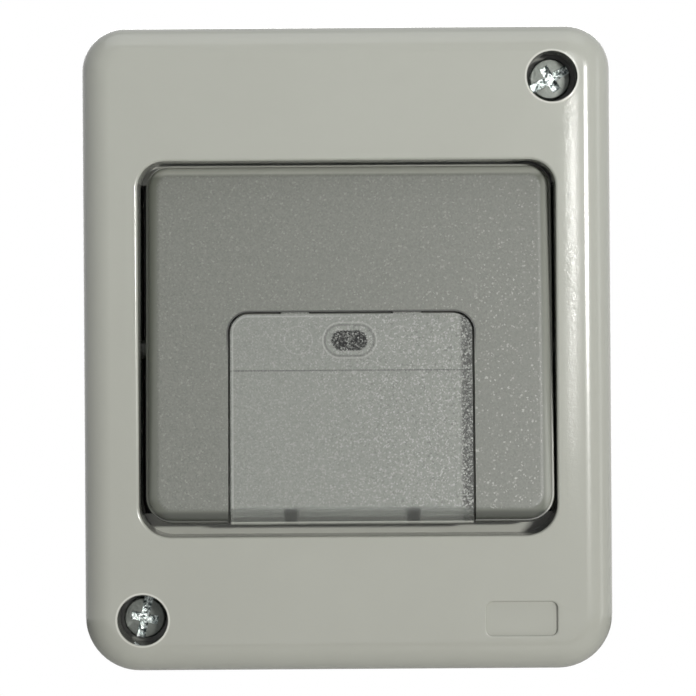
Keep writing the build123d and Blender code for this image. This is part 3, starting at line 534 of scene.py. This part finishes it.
def smoothed(node):
    """A smooth-shaded copy of a CAD piece that stands for it."""
    source = frame["nodes"][node]
    mesh = source.data.copy()
    mesh.name = f"{node}_smooth"
    shape = bmesh.new()
    shape.from_mesh(mesh)
    bmesh.ops.remove_doubles(shape, verts=shape.verts, dist=MERGE_DISTANCE * MM)
    for face in shape.faces:
        face.smooth = True
    for edge in shape.edges:
        edge.smooth = edge.is_manifold and edge.calc_face_angle(0) < math.radians(SHARP_ANGLE)
    shape.to_mesh(mesh)
    shape.free()
    mesh.materials.clear()
    mesh.materials.append(FINISHES[slot_of[node]])
    piece = bpy.data.objects.new(f"{node}_smooth", mesh)
    scene.collection.objects.link(piece)
    weigh = piece.modifiers.new("face_weight", "WEIGHTED_NORMAL")
    weigh.keep_sharp = True
    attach(piece, next(name for name, body in frame["bodies"].items() if body is source.parent))
    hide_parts(node)
    return piece


pieces = {node: smoothed(node) for node in frame["nodes"]}


# Screw threads, in millimetres. For each kind: where its screws stand, how far from the wall the
# outer end of a thread is, and a thread's radius, length, pitch and ridge.

SCREWS = (
    ("cover_screws", ((SCREW_X, SCREW_Z), (-SCREW_X, -SCREW_Z)), 30.5, 1.45, 12.2, 1.2, 0.24),
    ("block_screws", ((-17.6, 0), (17.6, 0)), 15.5, 1.45, 9.6, 1.2, 0.24),
    ("plate_screws", ((-8.8, -3.2), (8.8, -3.2)), 28.4, 1.0, 5.6, 0.8, 0.16),
    ("terminal_screws", ((-15.5, -12), (15.5, -12), (-15.5, 12)), 22.6, 1.45, 6.0, 0.5, 0.1),
)

TURN_STEPS, RIDGE_SIDES = 20, 4


def screw_thread_tree(finish):
    """Geometry Nodes that put a swept thread at each point of a mesh, running into the wall."""
    tree = bpy.data.node_groups.new("screw_thread", "GeometryNodeTree")
    tree.interface.new_socket("Screws", in_out="INPUT", socket_type="NodeSocketGeometry")
    for name in ("Radius", "Length", "Pitch", "Ridge"):
        tree.interface.new_socket(name, in_out="INPUT", socket_type="NodeSocketFloat")
    tree.interface.new_socket("Threads", in_out="OUTPUT", socket_type="NodeSocketGeometry")

    nodes = Nodes(tree)
    sizes = nodes.node("NodeGroupInput").outputs
    line = nodes.node("GeometryNodeCurveSpiral", {}, {
        "Resolution": TURN_STEPS,
        "Rotations": Amount(nodes, sizes["Length"]) / sizes["Pitch"],
        "Start Radius": sizes["Radius"],
        "End Radius": sizes["Radius"],
        "Height": sizes["Length"],
    })
    ridge = nodes.node("GeometryNodeCurvePrimitiveCircle", {}, {
        "Resolution": RIDGE_SIDES, "Radius": sizes["Ridge"],
    })
    sweep = nodes.node("GeometryNodeCurveToMesh", {}, {
        "Curve": line.outputs[0], "Profile Curve": ridge.outputs[0], "Fill Caps": True,
    })
    inward = nodes.node("GeometryNodeTransform", {}, {
        "Geometry": sweep.outputs[0], "Rotation": (math.radians(-90), 0, 0),
    })
    spread = nodes.node("GeometryNodeInstanceOnPoints", {}, {
        "Points": sizes["Screws"], "Instance": inward.outputs[0],
    })
    real = nodes.node("GeometryNodeRealizeInstances", {}, {"Geometry": spread.outputs[0]})
    coated = nodes.node("GeometryNodeSetMaterial", {}, {
        "Geometry": real.outputs[0], "Material": finish,
    })
    nodes.node("NodeGroupOutput", {}, {"Threads": coated.outputs[0]})
    return tree


def threads(tree, node, places, height, radius, length, pitch, ridge):
    """The threads of one kind of screw, made by the tree and kept as a mesh."""
    points = bpy.data.meshes.new("screw_points")
    points.from_pydata([(x * MM, -height * MM, z * MM) for x, z in places], [], [])
    holder = bpy.data.objects.new("screw_points", points)
    scene.collection.objects.link(holder)
    made = holder.modifiers.new("screw_thread", "NODES")
    made.node_group = tree
    sizes = {"Radius": radius, "Length": length, "Pitch": pitch, "Ridge": ridge}
    for socket in tree.interface.items_tree:
        if socket.in_out == "INPUT" and socket.name in sizes:
            made[socket.identifier] = sizes[socket.name] * MM
    shaped = holder.evaluated_get(bpy.context.evaluated_depsgraph_get())
    mesh = bpy.data.meshes.new_from_object(shaped)
    mesh.name = f"{node}_thread"
    bpy.data.objects.remove(holder)
    thread = bpy.data.objects.new(f"{node}_thread", mesh)
    scene.collection.objects.link(thread)
    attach(thread, "housing")


thread_tree = screw_thread_tree(FINISHES["zinc_steel"])
for screw_sizes in SCREWS:
    threads(thread_tree, *screw_sizes)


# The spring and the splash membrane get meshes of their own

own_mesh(pieces["return_spring"])
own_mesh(pieces["splash_membrane"])


# Floor and background. The floor's sizes are in metres.

FLOOR_REACH, FLOOR_DROP = 1.5, 0.25
FLOOR_GLOW = 0.42
WORLD_FILL = 0.1


def floor_white():
    """Pale matt floor, which glows a little for the camera alone, because the lamps are dim."""
    finish = Finish("floor_white", roughness=0.8, emission_strength=1.0)
    patches = finish.noise(60.0, 3.0)
    finish.set("Base Color", finish.mix(patches, colour(236, 236, 234), colour(240, 240, 238)))
    seen = finish.node("ShaderNodeLightPath").outputs["Is Camera Ray"]
    glow = (FLOOR_GLOW, FLOOR_GLOW, FLOOR_GLOW, 1)
    finish.set("Emission Color", finish.mix(seen, (0, 0, 0, 1), glow))
    return finish.material


def make_floor():
    """A plain pale floor well below the switch."""
    mesh = bpy.data.meshes.new("floor")
    shape = bmesh.new()
    bmesh.ops.create_grid(shape, x_segments=1, y_segments=1, size=FLOOR_REACH)
    shape.to_mesh(mesh)
    shape.free()
    mesh.transform(Matrix.Translation((0, 0, -FLOOR_DROP)))
    floor = bpy.data.objects.new("floor", mesh)
    scene.collection.objects.link(floor)
    mesh.materials.append(floor_white())


make_floor()


def make_world():
    """A white background for the camera, reflections and glass, and a soft fill for the rest."""
    world = bpy.data.worlds.new("world")
    scene.world = world
    world.use_nodes = True
    nodes = Nodes(world.node_tree)
    rays = nodes.node("ShaderNodeLightPath").outputs
    seen = Amount(nodes, rays["Is Camera Ray"]).at_least(rays["Is Transmission Ray"])
    seen = seen.at_least(rays["Is Glossy Ray"])
    level = nodes.node("ShaderNodeMapRange", {}, {"Value": seen, "To Min": WORLD_FILL})
    background = nodes.tree.nodes["Background"].inputs
    nodes.feed(background["Strength"], level.outputs[0])
    nodes.feed(background["Color"], (1, 1, 1, 1))


make_world()
